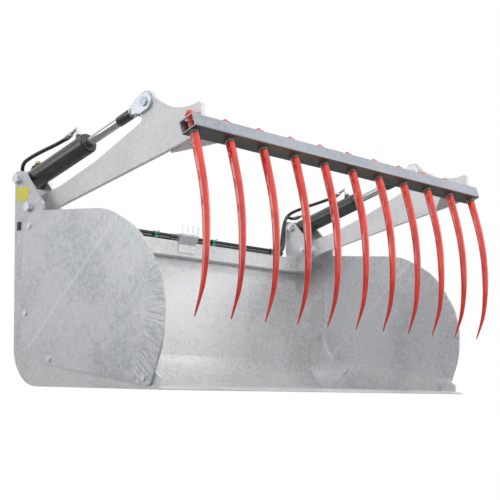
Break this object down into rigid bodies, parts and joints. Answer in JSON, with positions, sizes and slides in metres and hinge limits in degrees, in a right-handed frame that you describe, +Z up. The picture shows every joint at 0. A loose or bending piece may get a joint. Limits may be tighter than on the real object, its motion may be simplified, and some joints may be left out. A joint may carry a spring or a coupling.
{
  "type": "tractor front loader grab bucket",
  "caption": "Galvanised loader bucket with a red-tined grab that two hydraulic cylinders close onto the cutting edge.",
  "frame": {"origin": "on the flat underside of the bucket, half way across and 0.6 m ahead of the rear edge of the cheeks", "axes": "+X across the bucket, +Y towards the tractor, +Z up"},
  "size_m": [2.09, 1.3719, 1.239],
  "materials": {
    "galvanised": "satin",
    "zinc": "satin",
    "tine_red": "gloss",
    "black_paint": "satin",
    "chromed": "gloss",
    "hose_rubber": "matte",
    "brass": "satin"
  },
  "bodies": {
    "bucket": {"bucket_shell": "galvanised", "top_box": "galvanised", "cutting_edge": "galvanised", "left_cheek": "galvanised", "right_cheek": "galvanised", "left_side_plate": "galvanised", "right_side_plate": "galvanised", "side_plate_bolts": "zinc", "left_inner_tower": "galvanised", "right_inner_tower": "galvanised", "tower_bolts": "zinc", "tower_nuts": "zinc", "left_hitch_bracket": "galvanised", "right_hitch_bracket": "galvanised", "manifold_block": "zinc", "hose_bracket": "galvanised", "hose_comb": "zinc", "left_rod_hose": "hose_rubber", "left_base_hose": "hose_rubber", "right_rod_hose": "hose_rubber", "right_base_hose": "hose_rubber"},
    "grab": {"grab_beam": "galvanised", "tine_sleeves": "galvanised", "tine_nuts": "tine_red", "tine_01": "tine_red", "tine_02": "tine_red", "tine_03": "tine_red", "tine_04": "tine_red", "tine_05": "tine_red", "tine_06": "tine_red", "tine_07": "tine_red", "tine_08": "tine_red", "tine_09": "tine_red", "tine_10": "tine_red", "tine_11": "tine_red", "left_arm": "galvanised", "right_arm": "galvanised", "left_pivot_tube": "galvanised", "right_pivot_tube": "galvanised", "left_arm_brace": "galvanised", "right_arm_brace": "galvanised"},
    "left_cylinder": {"left_barrel": "black_paint", "left_gland": "black_paint", "left_rod_elbow": "zinc", "left_base_elbow": "brass"},
    "left_piston_rod": {"left_piston": "chromed", "left_rod": "chromed", "left_rod_sleeve": "black_paint", "left_fork": "zinc", "left_rod_pin": "zinc"},
    "right_cylinder": {"right_barrel": "black_paint", "right_gland": "black_paint", "right_rod_elbow": "zinc", "right_base_elbow": "brass"},
    "right_piston_rod": {"right_piston": "chromed", "right_rod": "chromed", "right_rod_sleeve": "black_paint", "right_fork": "zinc", "right_rod_pin": "zinc"}
  },
  "joints": [
    {"name": "grab_swing", "type": "hinge", "parent": "bucket", "child": "grab", "pos_m": [0, 0.499, 0.811], "axis": [1, 0, 0], "range_deg": [-55, 11]},
    {"name": "left_barrel_swing", "type": "hinge", "parent": "bucket", "child": "left_cylinder", "pos_m": [0, 0.6, 0.951], "axis": [1, 0, 0], "range_deg": [-55.6, 11.2], "deforming": ["left_rod_hose", "left_base_hose"]},
    {"name": "left_rod_slide", "type": "slide", "parent": "left_cylinder", "child": "left_piston_rod", "axis": [0, -0.9602, 0.2792], "range_m": [-0.1537, 0.0308]},
    {"name": "right_barrel_swing", "type": "hinge", "parent": "bucket", "child": "right_cylinder", "pos_m": [0, 0.6, 0.951], "axis": [1, 0, 0], "range_deg": [-55.6, 11.2], "deforming": ["right_rod_hose", "right_base_hose"]},
    {"name": "right_rod_slide", "type": "slide", "parent": "right_cylinder", "child": "right_piston_rod", "axis": [0, -0.9602, 0.2792], "range_m": [-0.1537, 0.0308]}
  ],
  "couplings": [
    {"joint": "left_barrel_swing", "follows": "grab_swing", "ratio": 1.01},
    {"joint": "left_rod_slide", "follows": "grab_swing", "m_per_rad": 0.16},
    {"joint": "right_barrel_swing", "follows": "grab_swing", "ratio": 1.01},
    {"joint": "right_rod_slide", "follows": "grab_swing", "m_per_rad": 0.16}
  ]
}
